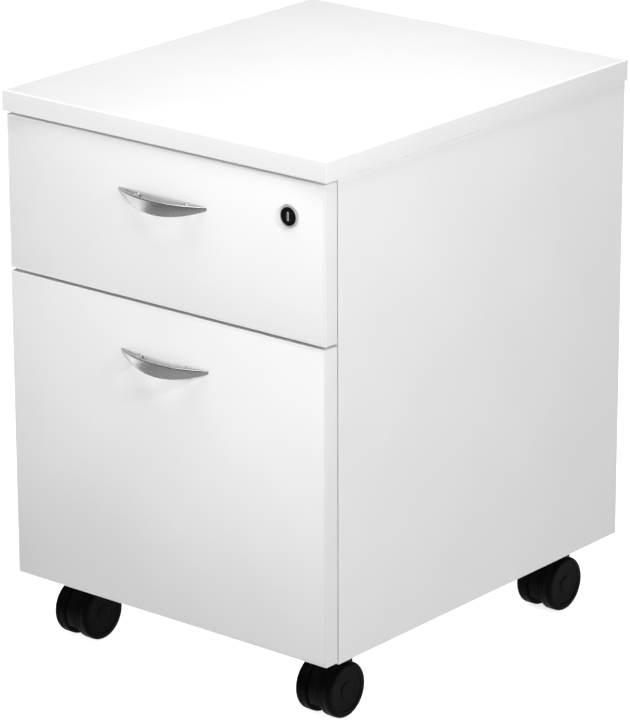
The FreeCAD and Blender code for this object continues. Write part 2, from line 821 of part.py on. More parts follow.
# ---- Drawer fronts ----

front_across = (-panel_out, panel_out)
handle_screw_radius = as_size(2)
front_screw_across = (side_in + side_out - cell("base_flange")) / 2
handle_tops = {
    "stationery": overall_height - cell("handle_drop_upper"),
    "filing": overall_height - cell("handle_drop_lower"),
}


def drawer_front(name, low, high, screw_levels):
    """A drawer front: through holes for the handle's screws, pilot bores for the drawer sides' screws."""
    body = box_board(f"{name}_front", front_across, (front_face, front_back), (low, high), cell("edge_chamfer"))
    post_level = handle_tops[name] - cell("post_drop")
    holes = [
        circle(cell("handle_centres") / 2 * hand, post_level, handle_screw_radius + 0.3) for hand in (-1, 1)
    ]
    pocket(body, "XZ", front_face - 1, holes, board + 2, 1)
    pilots = [circle(front_screw_across * hand, level, screw_bore) for hand in (-1, 1) for level in screw_levels]
    pocket(body, "XZ", front_back, pilots, flange_screw_reach + 0.5, -1)
    return body


stationery_front = drawer_front("stationery", upper_front_bottom, upper_front_top, stationery_screw_levels)
lock_bore = circle(cell("lock_across"), lock_level, cell("lock_barrel") + bore_ease)
pocket(stationery_front, "XZ", front_face - 1, [lock_bore], board + 2, 1)
drawer_front("filing", lower_front_bottom, lower_front_top, filing_screw_levels)


# ---- Drawer screws: two in each handle's posts, two through each drawer side's bracket ----

bracket_screw = screw_master("bracket_screw_master", 12, 3.4, 1.8)
handle_screw = new_body("handle_screw_master", (0, 0, 0), kept=False)
handle_screw_tip = board + 7
handle_screw_profile = [
    (as_size(-2.4), as_size(0)),
    (handle_screw_tip, as_size(0)),
    (handle_screw_tip, handle_screw_radius),
    (as_size(0), handle_screw_radius),
    (as_size(0), as_size(4)),
    (as_size(-1.4), as_size(4)),
    (as_size(-2.4), as_size(2.6)),
]
revolve(handle_screw, "X", handle_screw_profile)
for name, levels in (("stationery", stationery_screw_levels), ("filing", filing_screw_levels)):
    placed = []
    for hand in (-1, 1):
        post = (cell("handle_centres") / 2 * hand, front_back, handle_tops[name] - cell("post_drop"))
        placed.append((handle_screw, post))
        placed += [(bracket_screw, (front_screw_across * hand, front_back + steel, level)) for level in levels]
    gather(f"{name}_screws", [(master, frame_at(place, (0, -1, 0), (0, 0, 1))) for master, place in placed])


# ---- Bow handles ----

handle_reach = cell("handle_reach")
handle_height = cell("handle_height")
half_span = cell("handle_span") / 2
bow_radius = (half_span * half_span + handle_reach * handle_reach) / (handle_reach * 2)
belly_rise = handle_height - cell("handle_tip")
belly_radius = (half_span * half_span + belly_rise * belly_rise) / (belly_rise * 2)


def cone(name, low_radius, high_radius, height, place):
    solid = doc.addObject("Part::Cone", name)
    bind(solid, "Radius1", low_radius)
    bind(solid, "Radius2", high_radius)
    bind(solid, "Height", height)
    put(solid, place)
    return solid


def rod_along_y(name, radius, length, place):
    """A cylinder from a place along +Y."""
    rod = doc.addObject("Part::Cylinder", name)
    bind(rod, "Radius", radius)
    bind(rod, "Height", length)
    rod.Placement = FreeCAD.Placement(Vector(), FreeCAD.Rotation(Vector(1, 0, 0), -90))
    put(rod, place)
    return rod


def combine(kind, name, members):
    """A common or a fusion of several solids."""
    result = doc.addObject(kind, name)
    result.Shapes = members
    return result


def cut(label, base, tool):
    result = doc.addObject("Part::Cut", label)
    result.Label = label
    result.Base = base
    result.Tool = tool
    return result


def bow_handle(label, top):
    """A bow in plan between two cones, its lower edge rising to the tips, on two posts with blind bores."""
    low = top - handle_height
    bow_middle = front_face - handle_reach + bow_radius
    tuck = cell("handle_tuck")
    wall = cell("handle_wall")
    outer = cone(f"{label}_outer", bow_radius - tuck, bow_radius, handle_height, (0, bow_middle, low))
    inner = cone(
        f"{label}_inner", bow_radius - tuck - wall, bow_radius - wall, handle_height, (0, bow_middle, low)
    )
    belly_place = (0, front_face - handle_reach - 5, low + belly_radius)
    belly = rod_along_y(f"{label}_belly", belly_radius, handle_reach + 10, belly_place)
    room = doc.addObject("Part::Box", f"{label}_room")
    bind(room, "Length", cell("handle_span"))
    bind(room, "Width", handle_reach)
    bind(room, "Height", handle_height)
    put(room, (-half_span, front_face - handle_reach, low))
    blank = combine("Part::MultiCommon", f"{label}_blank", [outer, belly, room])
    bow = cut(f"{label}_bow", blank, inner)
    level = top - cell("post_drop")
    bore_radius = handle_screw_radius + bore_ease
    bore_depth = as_size(8)
    posts = []
    bores = []
    for hand in (-1, 1):
        across = cell("handle_centres") / 2 * hand
        post_place = (across, front_face - handle_reach, level)
        rod = rod_along_y(f"{label}_rod", cell("post_radius"), handle_reach, post_place)
        posts.append(combine("Part::MultiCommon", f"{label}_post", [rod, outer]))
        bores.append(rod_along_y(f"{label}_bore", bore_radius, bore_depth, (across, front_face - bore_depth, level)))
    body = combine("Part::MultiFuse", f"{label}_casting", [bow, *posts])
    handle = cut(label, body, combine("Part::MultiFuse", f"{label}_bores", bores))
    nodes.append(handle)


for name, top in handle_tops.items():
    bow_handle(f"{name}_handle", top)


# ---- Lock ----

flange_thickness = as_size(2)
recess_floor = front_face - 0.6
housing_rear = front_back + 5
plug_rear = housing_rear + 0.6
lock_across = cell("lock_across")


def turned_about_lock(label, outline):
    """A turned piece on the lock's axis; the outline is (radius, distance along Y in the cabinet's frame)."""
    body = new_body(label, (lock_across, front_face, lock_level))
    revolve(body, "Y", [(lock_across + radius, along) for radius, along in outline])
    return body


housing_front = front_face - flange_thickness
plug_bore = cell("plug_radius") + running_ease
turned_about_lock(
    "lock_housing",
    [
        (plug_bore, recess_floor),
        (cell("lock_face") + 0.3, recess_floor),
        (cell("lock_face") + 0.3, housing_front),
        (cell("lock_flange") - 0.8, housing_front),
        (cell("lock_flange"), housing_front + 0.8),
        (cell("lock_flange"), front_face),
        (cell("lock_barrel"), front_face),
        (cell("lock_barrel"), housing_rear),
        (plug_bore, housing_rear),
    ],
)
turned_about_lock(
    "lock_nut",
    [
        (cell("lock_barrel") + 0.05, front_back),
        (cell("lock_flange"), front_back),
        (cell("lock_flange"), front_back + 4),
        (cell("lock_barrel") + 0.05, front_back + 4),
    ],
)
plug_face = housing_front - 0.3
lock_plug = turned_about_lock(
    "lock_plug",
    [
        (as_size(0), plug_face),
        (cell("lock_face") - 0.5, plug_face),
        (cell("lock_face"), plug_face + 0.5),
        (cell("lock_face"), recess_floor - 0.1),
        (cell("plug_radius"), recess_floor - 0.1),
        (cell("plug_radius"), plug_rear),
        (as_size(0), plug_rear),
    ],
)
key_slot = rectangle(lock_across - 0.8, lock_across + 0.8, lock_level - 4.6, lock_level + 4.6)
pocket(lock_plug, "XZ", plug_face - 1, [key_slot], as_size(7), 1)

lock_cam = new_body("lock_cam", (lock_across, plug_rear, lock_level))
pad(lock_cam, "XZ", plug_rear, [circle(lock_across, lock_level, as_size(8))], as_size(2.5), 1)
throw = cell("lock_throw")
cam_pin = circle(lock_across, lock_level - throw, cell("cam_pin"))
pad(lock_cam, "XZ", plug_rear + 2.5, [cam_pin], as_size(11.5), 1)

# The bar rides in the right side's groove; its arm reaches behind the lock, its pegs in front of the drawers' tabs.
bar_outer = panel_in + cell("groove_depth") - 0.8
bar_inner = bar_outer - cell("bar_thickness")
bar_half = cell("bar_width") / 2
lock_bar = new_body("lock_bar", (bar_inner, bar_middle, bar_bottom))
bar_face = rectangle(bar_middle - bar_half, bar_middle + bar_half, bar_bottom, bar_top)
pad(lock_bar, "YZ", bar_inner, [bar_face], cell("bar_thickness"), 1)
arm_level = lock_level - throw
arm_rear = bar_middle + 1
arm_face = rectangle(lock_across - 11, bar_outer, arm_level - 7.5, arm_level + 7.5)
pad(lock_bar, "XZ", arm_rear - 2, [arm_face], as_size(2), 1)
pin_room = cell("cam_pin") + 0.5
slot_height = cell("cam_pin") + 1.2
pin_slot = rectangle(
    lock_across - throw - pin_room, lock_across + throw + pin_room, arm_level - slot_height, arm_level + slot_height
)
pocket(lock_bar, "XZ", arm_rear - 3, [pin_slot], as_size(4), 1)
for catch in (cell("catch_upper"), cell("catch_lower")):
    peg_top = catch - peg_drop
    peg = rectangle(catch_front - 8, catch_front - 2, peg_top - peg_height, peg_top)
    pad(lock_bar, "YZ", bar_outer, [peg], bar_outer - side_out - peg_gap, -1)
shoulder_radius = as_size(2.5)
slot_side = shoulder_radius + 0.3
lock_bar_slots = [
    rectangle(bar_middle - slot_side, bar_middle + slot_side, level - throw * 2 - 3.4, level + 3.4)
    for level in bar_screws
]
pocket(lock_bar, "YZ", bar_inner - 1, lock_bar_slots, cell("bar_thickness") + 2, 1)

shoulder_screw = new_body("shoulder_screw_master", (0, 0, 0), kept=False)
shoulder_length = cell("bar_thickness") + 1
shoulder_profile = [
    (as_size(-1.7), as_size(0)),
    (shoulder_length + 8, as_size(0)),
    (shoulder_length + 6, screw_shank),
    (shoulder_length, screw_shank),
    (shoulder_length, shoulder_radius),
    (as_size(0), shoulder_radius),
    (as_size(0), as_size(4.4)),
    (as_size(-1.7), as_size(4)),
]
revolve(shoulder_screw, "X", shoulder_profile)
shoulder_start = panel_in + cell("groove_depth") - shoulder_length
copies(
    "lock_bar_screws",
    shoulder_screw,
    [frame_at((shoulder_start, bar_middle, level), (1, 0, 0), (0, 0, 1)) for level in bar_screws],
)


# ---- Castors ----

wheel_radius = cell("wheel_radius")
wheel_inner = cell("hood_width") / 2 + cell("wheel_gap")
axle_radius = cell("axle_radius")
swivel_radius = cell("swivel_radius")
plate_under = carcass_bottom - plate_thickness
neck_level = as_size(60.5)
boss_radius = as_size(10)
swivel_end = as_size(38)

plate_master = new_body("castor_plate_master", (0, 0, 0), kept=False)
half_plate = cell("plate_side") / 2
pad(
    plate_master,
    "XY",
    plate_under,
    [rectangle(-half_plate, half_plate, -half_plate, half_plate)],
    plate_thickness,
    1,
)
plate_holes = [
    circle(cell("plate_screws") * across, cell("plate_screws") * along, screw_shank + 0.4)
    for across, along in plate_corners
]
pocket(plate_master, "XY", plate_under - 1, plate_holes, plate_thickness + 2, 1)
swivel_pin = circle(as_size(0), as_size(0), swivel_radius)
pad(plate_master, "XY", plate_under, [swivel_pin], plate_under - swivel_end, -1)
copies(
    "castor_plates",
    plate_master,
    [frame_at((across, along, 0), (1, 0, 0), (0, 0, 1)) for across, along in castor_pins],
)


def castor_housing(label, across, along):
    """The hood between the wheels, the neck up to the swivel, and the bores for the pin and the axle."""
    hub = along - cell("castor_trail")
    hood = cell("hood_radius")
    foot = wheel_radius - 14
    half_chord = root(hood * hood - as_size(14) * 14)
    body = new_body(label, (across, along, 0))
    hood_outline = [
        (hub + half_chord, foot),
        (hub, wheel_radius + hood, hood),
        (hub - half_chord, foot, hood),
    ]
    pad(body, "YZ", across, [hood_outline], cell("hood_width"), 0)
    neck = rectangle(along - 14, along + boss_radius, as_size(34), neck_level + 3)
    pad(body, "YZ", across, [neck], cell("hood_width"), 0)
    boss_height = plate_under - 0.5 - neck_level
    pad(body, "XY", neck_level, [circle(across, along, boss_radius)], boss_height, 1)
    pin_bore = circle(across, along, swivel_radius + running_ease)
    pocket(body, "XY", plate_under, [pin_bore], plate_under - swivel_end + 1, -1)
    axle_bore = circle(hub, wheel_radius, axle_radius + bore_ease / 2)
    pocket(body, "YZ", across - boss_radius, [axle_bore], boss_radius * 2, 1)


def castor_wheel(label, across, hub, outward):
    """A wheel with rounded shoulders and a dished outer face, bored from its inner face for the axle."""
    near = wheel_inner * outward
    far = near + cell("wheel_width") * outward
    body = new_body(label, (across, hub, wheel_radius))
    bore = axle_radius + running_ease
    shoulder = as_size(4)
    profile = [
        (near, bore),
        (far - 2 * outward, bore),
        (far - 2 * outward, as_size(0)),
        (far - 1 * outward, as_size(0)),
        (far - 1 * outward, as_size(20)),
        (far, as_size(22)),
        (far, wheel_radius - shoulder),
        (far - shoulder * outward, wheel_radius, shoulder * outward),
        (near + 1.5 * outward, wheel_radius),
        (near, wheel_radius - 1.5),
    ]
    revolve(body, "X", [(across + step[0], hub + step[1], *step[2:]) for step in profile])


def castor(name, across, along):
    hub = along - cell("castor_trail")
    castor_housing(f"{name}_castor_housing", across, along)
    axle = new_body(f"{name}_castor_axle", (across, hub, wheel_radius))
    axle_length = (wheel_inner + cell("wheel_width") - 2.6) * 2
    pad(axle, "YZ", across, [circle(hub, wheel_radius, axle_radius)], axle_length, 0)
    castor_wheel(f"{name}_castor_left_wheel", across, hub, -1)
    castor_wheel(f"{name}_castor_right_wheel", across, hub, 1)


for end, along in castor_alongs.items():
    for side, hand in (("left", -1), ("right", 1)):
        castor(f"{end}_{side}", castor_across * hand, along)


# ---- Checks and export ----


def fail_on_faults():
    doc.recompute()
    for thing in doc.Objects:
        if "Invalid" in thing.State or "Error" in thing.State:
            raise RuntimeError(f"{thing.Label} did not recompute: {thing.State}")
    for node in nodes:
        if node.Shape.isNull() or not node.Shape.isValid():
            raise RuntimeError(f"{node.Label} has no valid shape")
        if not node.Shape.Solids:
            raise RuntimeError(f"{node.Label} has no solid")


def export():
    os.makedirs("parts", exist_ok=True)
    for node in nodes:
        node.Shape.exportStep(os.path.join("parts", f"{node.Label}.step"))
    print(f"{len(nodes)} sub-parts written")


fail_on_faults()
export()
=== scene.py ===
import json
import math
import bpy
import numpy as np
from mathutils import Matrix, Vector


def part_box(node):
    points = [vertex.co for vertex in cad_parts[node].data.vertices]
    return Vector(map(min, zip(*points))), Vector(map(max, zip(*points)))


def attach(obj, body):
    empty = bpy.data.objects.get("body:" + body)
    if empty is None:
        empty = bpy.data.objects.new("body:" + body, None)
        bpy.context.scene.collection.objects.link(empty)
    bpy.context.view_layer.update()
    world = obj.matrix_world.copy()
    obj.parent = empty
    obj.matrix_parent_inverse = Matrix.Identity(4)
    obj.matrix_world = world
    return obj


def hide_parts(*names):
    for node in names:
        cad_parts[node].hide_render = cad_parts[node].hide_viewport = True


# Rolling pedestal cabinet. Metres, +Z up, the drawer fronts face -Y.
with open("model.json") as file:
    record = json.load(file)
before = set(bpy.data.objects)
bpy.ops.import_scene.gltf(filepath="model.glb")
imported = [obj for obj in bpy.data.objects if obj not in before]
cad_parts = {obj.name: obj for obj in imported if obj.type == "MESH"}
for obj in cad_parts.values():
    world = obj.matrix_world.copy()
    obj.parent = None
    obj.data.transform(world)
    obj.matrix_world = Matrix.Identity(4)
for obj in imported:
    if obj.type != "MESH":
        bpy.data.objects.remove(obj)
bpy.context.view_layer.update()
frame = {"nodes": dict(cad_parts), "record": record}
slotOf = {entry["node"]: entry["material_slot"] for entry in frame["record"]["subparts"]}
bodyOf = {node: body for body, members in frame["record"]["behaviour"]["bodies"].items() for node in members}
print("frame loaded")

# a shell, below, is its vertices, a list of face arrays, and the value of edgeTone at each vertex


def ringFaces(first, second):
    # quads between two rings of vertex numbers of the same length
    return np.stack([first, np.roll(first, -1), np.roll(second, -1), second], axis=1)


def gridShell(points, tone=None, caps="faces"):
    # points[row, column], closed round along the columns; the end rows are closed by one flat face, by a fan
    # to a given point, or not at all when the rows run round as well
    rows, columns = points.shape[:2]
    vertices = points.reshape(-1, 3)
    numbers = np.arange(rows * columns).reshape(rows, columns)
    last = rows if caps == "round" else rows - 1
    faces = [np.concatenate([ringFaces(numbers[r], numbers[(r + 1) % rows]) for r in range(last)])]
    values = np.repeat(np.zeros(rows) if tone is None else tone, columns)
    if caps == "faces":
        faces += [numbers[0][None, ::-1], numbers[-1][None]]
    elif caps != "round":
        for row, pole, step in ((0, caps[0], -1), (rows - 1, caps[1], 1)):
            ring = numbers[row][::step]
            middle = np.full(columns, len(vertices))
            faces.append(np.stack([ring, np.roll(ring, -1), middle], axis=1))
            vertices = np.vstack([vertices, pole])
            values = np.append(values, values[numbers[row][0]])
    return vertices, faces, values


def facingOut(vertices, faces):
    # turns a shell over when its volume, a sixth of the sum of a . (b x c), comes out negative
    volume = 0.0
    for group in faces:
        corners = vertices[group]
        for k in range(1, group.shape[1] - 1):
            volume += np.einsum("ij,ij->", corners[:, 0], np.cross(corners[:, k], corners[:, k + 1]))
    return faces if volume > 0 else [group[:, ::-1] for group in faces]


def makePiece(name, shells, material, body, replaces=(), sharp=38):
    # one mesh of one or more closed shells, in the cabinet's frame
    vertices = np.concatenate([shell[0] for shell in shells])
    starts = np.cumsum([0] + [len(shell[0]) for shell in shells[:-1]])
    faceList = []
    for shell, start in zip(shells, starts):
        for group in facingOut(shell[0], shell[1]):
            faceList += (group + start).tolist()
    mesh = bpy.data.meshes.new(name)
    mesh.from_pydata(vertices.tolist(), [], faceList)
    mesh.polygons.foreach_set("use_smooth", np.ones(len(mesh.polygons), bool))
    mesh.set_sharp_from_angle(angle=math.radians(sharp))
    layer = mesh.attributes.new("edgeTone", "FLOAT", "POINT")
    layer.data.foreach_set("value", np.concatenate([shell[2] for shell in shells]).astype(np.float32))
    mesh.materials.append(material)
    mesh.update()
    piece = bpy.data.objects.new(name, mesh)
    bpy.context.scene.collection.objects.link(piece)
    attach(piece, body)
    if replaces:
        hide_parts(*replaces)
    return piece


def turned(centre, axis, profile, steps=72, ring=False):
    # surface of revolution: (a, r) -> centre + a along the axis + r (cos t, sin t) across it; an end with
    # r = 0 is a pole, and a ring's profile is closed on itself
    profile = np.array(profile, float)
    poles = [centre + np.eye(3)[axis] * profile[end, 0] for end in (0, -1)]
    if not ring:
        profile = profile[profile[:, 1] > 1e-7]
    angle = np.linspace(0, 2 * np.pi, steps, endpoint=False)
    one, other = (axis + 1) % 3, (axis + 2) % 3
    points = np.zeros((len(profile), steps, 3))
    points[..., axis] = profile[:, 0, None]
    points[..., one] = profile[:, 1, None] * np.cos(angle)
    points[..., other] = profile[:, 1, None] * np.sin(angle)
    return gridShell(points + centre, caps="round" if ring else poles)


def roundedPath(corners, radii, count=5, closed=False):
    # a polyline whose corners are arcs, each tangent to its two sides r / tan(half the angle) from the
    # corner; a corner of radius 0 stays as it is
    corners = np.array(corners, float)
    points = []
    for k, radius in enumerate(radii):
        corner = corners[k]
        if radius == 0 or (not closed and k in (0, len(corners) - 1)):
            points.append(corner[None])
            continue
        before, after = corners[k - 1] - corner, corners[(k + 1) % len(corners)] - corner
        before, after = before / np.linalg.norm(before), after / np.linalg.norm(after)
        half = math.acos(max(-1.0, min(1.0, float(before @ after)))) / 2
        middle = corner + (before + after) / np.linalg.norm(before + after) * radius / math.sin(half)
        reach = radius / math.tan(half)
        start = corner + before * reach - middle
        end = corner + after * reach - middle
        share = np.linspace(0, 1, count)[:, None]
        arc = start * (1 - share) + end * share
        points.append(middle + arc * radius / np.linalg.norm(arc, axis=1)[:, None])
    return np.concatenate(points)


def rectangleLoop(halfA, halfB, corner, inset, count=5):
    # a rectangle of half sizes (halfA - inset, halfB - inset) with round corners of radius (corner - inset)
    leastRadius = 0.00004
    radius = max(corner - inset, leastRadius)
    turns = np.radians(np.linspace(0, 90, count) + 90 * np.arange(4)[:, None]).reshape(-1)
    signA, signB = np.repeat([1, -1, -1, 1], count), np.repeat([1, 1, -1, -1], count)
    return np.stack([
        signA * (halfA - inset - radius) + radius * np.cos(turns),
        signB * (halfB - inset - radius) + radius * np.sin(turns),
    ], axis=1)


def insetLoop(outline, inset):
    # a closed outline moved inwards: each point goes against the mean of its two sides' outward normals
    side = np.roll(outline, -1, axis=0) - outline
    normal = np.stack([side[:, 1], -side[:, 0]], axis=1)
    normal /= np.linalg.norm(normal, axis=1)[:, None] + 1e-12
    mean = normal + np.roll(normal, 1, axis=0)
    mean /= (1 + (normal * np.roll(normal, 1, axis=0)).sum(axis=1))[:, None]
    return outline - mean * inset


def plateShell(loopAt, thin, middle, half, edge, band=None):
    # a plate: its outline is carried round the profile of its edge, a quarter circle of radius edge at each
    # face; a band adds the fine joint line of an edge band round both faces
    quarter = np.radians(np.linspace(0, 90, 6))
    inset = edge * (1 - np.sin(quarter))
    level = half - edge * (1 - np.cos(quarter))
    tone = np.full(len(quarter), 0.3)
    if band is not None:
        groove = 0.00013
        inset = np.concatenate([[band + groove, band, band - groove], inset])
        level = np.concatenate([[half, half - groove, half], level])
        tone = np.concatenate([[0, 1, 0.3], tone])
    inset = np.append(inset, inset[::-1])
    level = np.append(level, -level[::-1])
    tone = np.append(tone, tone[::-1])
    loops = np.array([loopAt(amount) for amount in inset])
    one, other = [axis for axis in range(3) if axis != thin]
    points = np.zeros((*loops.shape[:2], 3))
    points[..., one], points[..., other] = loops[..., 0], loops[..., 1]
    points[..., thin] = level[:, None]
    return gridShell(points + np.array(middle), tone=tone)


def newMaterial(name):
    material = bpy.data.materials.new(name)
    material.use_nodes = True
    nodes = material.node_tree.nodes
    shader = nodes["Principled BSDF"]
    where = nodes.new("ShaderNodeTexCoord").outputs["Object"]
    return material, nodes, material.node_tree.links, shader, where


def noise(nodes, links, where, scale, detail=3.0, stretch=(1, 1, 1)):
    mapping = nodes.new("ShaderNodeMapping")
    mapping.inputs["Scale"].default_value = stretch
    links.new(where, mapping.inputs["Vector"])
    texture = nodes.new("ShaderNodeTexNoise")
    texture.inputs["Scale"].default_value = scale
    texture.inputs["Detail"].default_value = detail
    links.new(mapping.outputs["Vector"], texture.inputs["Vector"])
    return texture.outputs["Fac"]


def ramp(nodes, links, factor, stops):
    band = nodes.new("ShaderNodeValToRGB")
    band.color_ramp.elements[0].position, band.color_ramp.elements[1].position = stops[0][0], stops[-1][0]
    for position, _ in stops[1:-1]:
        band.color_ramp.elements.new(position)
    for element, (_, colour) in zip(band.color_ramp.elements, stops):
        element.color = (*colour, 1) if len(colour) == 3 else colour
    links.new(factor, band.inputs["Fac"])
    return band.outputs["Color"]


def spread(nodes, links, factor, low, high):
    # maps 0.3 to 0.7 of a noise onto low to high
    mapRange = nodes.new("ShaderNodeMapRange")
    mapRange.inputs["From Min"].default_value = 0.3
    mapRange.inputs["From Max"].default_value = 0.7
    mapRange.inputs["To Min"].default_value = low
    mapRange.inputs["To Max"].default_value = high
    links.new(factor, mapRange.inputs["Value"])
    return mapRange.outputs["Result"]


def bump(nodes, links, height, distance, strength, previous=None):
    node = nodes.new("ShaderNodeBump")
    node.inputs["Distance"].default_value = distance
    node.inputs["Strength"].default_value = strength
    links.new(height, node.inputs["Height"])
    if previous is not None:
        links.new(previous, node.inputs["Normal"])
    return node.outputs["Normal"]


laminate = {
    "white": (0.86, 0.862, 0.865),
    "shade": (0.835, 0.838, 0.842),
    "bandTone": (0.62, 0.62, 0.62),
    "grainScale": 1400,
    "grainDepth": 0.00003,
    "roughness": (0.36, 0.46),
}


def makeLaminate():
    # white melamine: a fine pearl grain, faint cloudiness, and a darker joint along the edge bands
    material, nodes, links, shader, where = newMaterial("whiteMelamine")
    cloud = noise(nodes, links, where, 9, 2)
    colour = ramp(nodes, links, cloud, [(0.3, laminate["shade"]), (0.7, laminate["white"])])
    tone = nodes.new("ShaderNodeAttribute")
    tone.attribute_name = "edgeTone"
    mix = nodes.new("ShaderNodeMix")
    mix.data_type = "RGBA"
    mix.blend_type = "MULTIPLY"
    links.new(spreadTone(nodes, links, tone.outputs["Fac"]), mix.inputs["Factor"])
    links.new(colour, mix.inputs["A"])
    mix.inputs["B"].default_value = (*laminate["bandTone"], 1)
    links.new(mix.outputs["Result"], shader.inputs["Base Color"])
    grain = noise(nodes, links, where, laminate["grainScale"], 2)
    links.new(spread(nodes, links, grain, *laminate["roughness"]), shader.inputs["Roughness"])
    ripple = bump(nodes, links, noise(nodes, links, where, 60, 2), 0.00005, 0.25)
    links.new(bump(nodes, links, grain, laminate["grainDepth"], 0.35, ripple), shader.inputs["Normal"])
    shader.inputs["Specular IOR Level"].default_value = 0.42
    return material


def spreadTone(nodes, links, factor):
    # the joint line is full tone, the band itself a trace of it
    curve = nodes.new("ShaderNodeMath")
    curve.operation = "POWER"
    links.new(factor, curve.inputs[0])
    curve.inputs[1].default_value = 2.5
    return curve.outputs[0]


def makeMetal(name, colour, dark, roughness, scale, stretch, metallic=1.0, depth=0.00002):
    # bare or satin metal: streaks along one way from a stretched noise, and a cloudy tone
    material, nodes, links, shader, where = newMaterial(name)
    streak = noise(nodes, links, where, scale, 4, stretch)
    links.new(ramp(nodes, links, noise(nodes, links, where, 55, 3), [(0.3, dark), (0.72, colour)]),
              shader.inputs["Base Color"])
    links.new(spread(nodes, links, streak, *roughness), shader.inputs["Roughness"])
    links.new(bump(nodes, links, streak, depth, 0.3), shader.inputs["Normal"])
    shader.inputs["Metallic"].default_value = metallic
    return material


def makePlastic(name, colour, worn, roughness, scale, depth, specular=0.5):
    # moulded plastic: a fine spark-eroded grain, a little paler where the cloud noise peaks
    material, nodes, links, shader, where = newMaterial(name)
    links.new(ramp(nodes, links, noise(nodes, links, where, 40, 4), [(0.35, colour), (0.75, worn)]),
              shader.inputs["Base Color"])
    grain = noise(nodes, links, where, scale, 2)
    links.new(spread(nodes, links, grain, *roughness), shader.inputs["Roughness"])
    links.new(bump(nodes, links, grain, depth, 0.4), shader.inputs["Normal"])
    shader.inputs["Specular IOR Level"].default_value = specular
    return material


finishes = {
    "laminate": makeLaminate(),
    "drawer_steel": makePlastic(
        "paleSteelPaint", (0.62, 0.63, 0.64), (0.68, 0.69, 0.70), (0.42, 0.55), 1600, 0.00003,
    ),
    "slide_steel": makeMetal(
        "zincSlide", (0.62, 0.63, 0.65), (0.46, 0.47, 0.49), (0.26, 0.42), 900, (1, 0.02, 1),
    ),
    "handle_metal": makeMetal(
        "satinSilver", (0.56, 0.56, 0.57), (0.50, 0.50, 0.51), (0.22, 0.30), 1500, (0.05, 1, 1),
    ),
    "lock_metal": makeMetal(
        "satinNickel", (0.74, 0.74, 0.73), (0.68, 0.68, 0.67), (0.28, 0.40), 1800, (1, 1, 0.1), 0.6,
    ),
    "lock_face": makePlastic(
        "lockBlack", (0.002, 0.002, 0.002), (0.004, 0.004, 0.004), (0.3, 0.42), 2500, 0.00001, 0.08,
    ),
    "fixing_steel": makeMetal(
        "zincFixing", (0.58, 0.58, 0.56), (0.42, 0.42, 0.41), (0.28, 0.45), 2200, (1, 1, 1),
    ),
    "roller_plastic": makePlastic(
        "rollerNylon", (0.78, 0.78, 0.75), (0.82, 0.82, 0.79), (0.35, 0.5), 1200, 0.00002,
    ),
    "castor_plastic": makePlastic(
        "hoodNylon", (0.003, 0.003, 0.003), (0.006, 0.006, 0.006), (0.38, 0.5), 1500, 0.00003, 0.02,
    ),
    "wheel_plastic": makePlastic(
        "wheelNylon", (0.002, 0.002, 0.002), (0.005, 0.005, 0.005), (0.34, 0.46), 1300, 0.00003, 0.02,
    ),
}
print("materials made")

for nodeName, nodeObject in frame["nodes"].items():
    finish = finishes[slotOf[nodeName]]
    if nodeObject.material_slots:
        for materialSlot in nodeObject.material_slots:
            materialSlot.material = finish
    else:
        nodeObject.data.materials.append(finish)
print("CAD nodes dressed")


camera = {
    "place": (2.7141, -3.2910, 1.7411),
    "azimuth": 39.511,
    "elevation": 18.684,
    "roll": -0.195,
    "lens": 212.68,
    "sensor": 36,
}


def makeCamera():
    # looks along (-sin a cos e, cos a cos e, -sin e), then rolls about that line
    data = bpy.data.cameras.new("photographer")
    data.lens = camera["lens"]
    data.sensor_width = data.sensor_height = camera["sensor"]
    data.sensor_fit = "AUTO"
    data.clip_end = 60
    view = bpy.data.objects.new("photographer", data)
    view.location = camera["place"]
    a, e = math.radians(camera["azimuth"]), math.radians(camera["elevation"])
    forward = Vector((-math.sin(a) * math.cos(e), math.cos(a) * math.cos(e), -math.sin(e)))
    roll = Matrix.Rotation(math.radians(camera["roll"]), 3, "Z")
    turn = forward.to_track_quat("-Z", "Y").to_matrix() @ roll
    view.rotation_euler = turn.to_euler()
    bpy.context.scene.collection.objects.link(view)
    bpy.context.scene.camera = view


studio = {
    "half": 9.0,
    "white": (0.93, 0.93, 0.93),
    "whiter": (0.95, 0.95, 0.95),
    "glow": 0.8,
    "sky": 0.11,
    "below": 0.62,
    "horizon": 0.04,
}


def flatCard(name, corners):
    # one flat face through four corners
    mesh = bpy.data.meshes.new(name)
    mesh.from_pydata(corners, [], [(0, 1, 2, 3)])
    card = bpy.data.objects.new(name, mesh)
    bpy.context.scene.collection.objects.link(card)
    return card


def makeFloor():
    # glows so that it stays white in shade, and throws no light up: the lower sky stands for its bounce
    h = studio["half"]
    ground = flatCard("studioFloor", [(-h, -h, 0), (h, -h, 0), (h, h, 0), (-h, h, 0)])
    material, nodes, links, shader, where = newMaterial("studioWhite")
    stops = [(0.3, studio["white"]), (0.7, studio["whiter"])]
    tone = ramp(nodes, links, noise(nodes, links, where, 3, 2), stops)
    links.new(tone, shader.inputs["Base Color"])
    shader.inputs["Roughness"].default_value = 0.9
    shader.inputs["Emission Color"].default_value = (1, 1, 1, 1)
    shader.inputs["Emission Strength"].default_value = studio["glow"]
    ground.data.materials.append(material)
    ground.visible_diffuse = False


flagCard = {
    "far": (-2.6, 1.2, -4.2), "near": (-0.6, 0.5, -0.28), "level": 0.004, "grey": (0.34, 0.34, 0.34, 1),
}


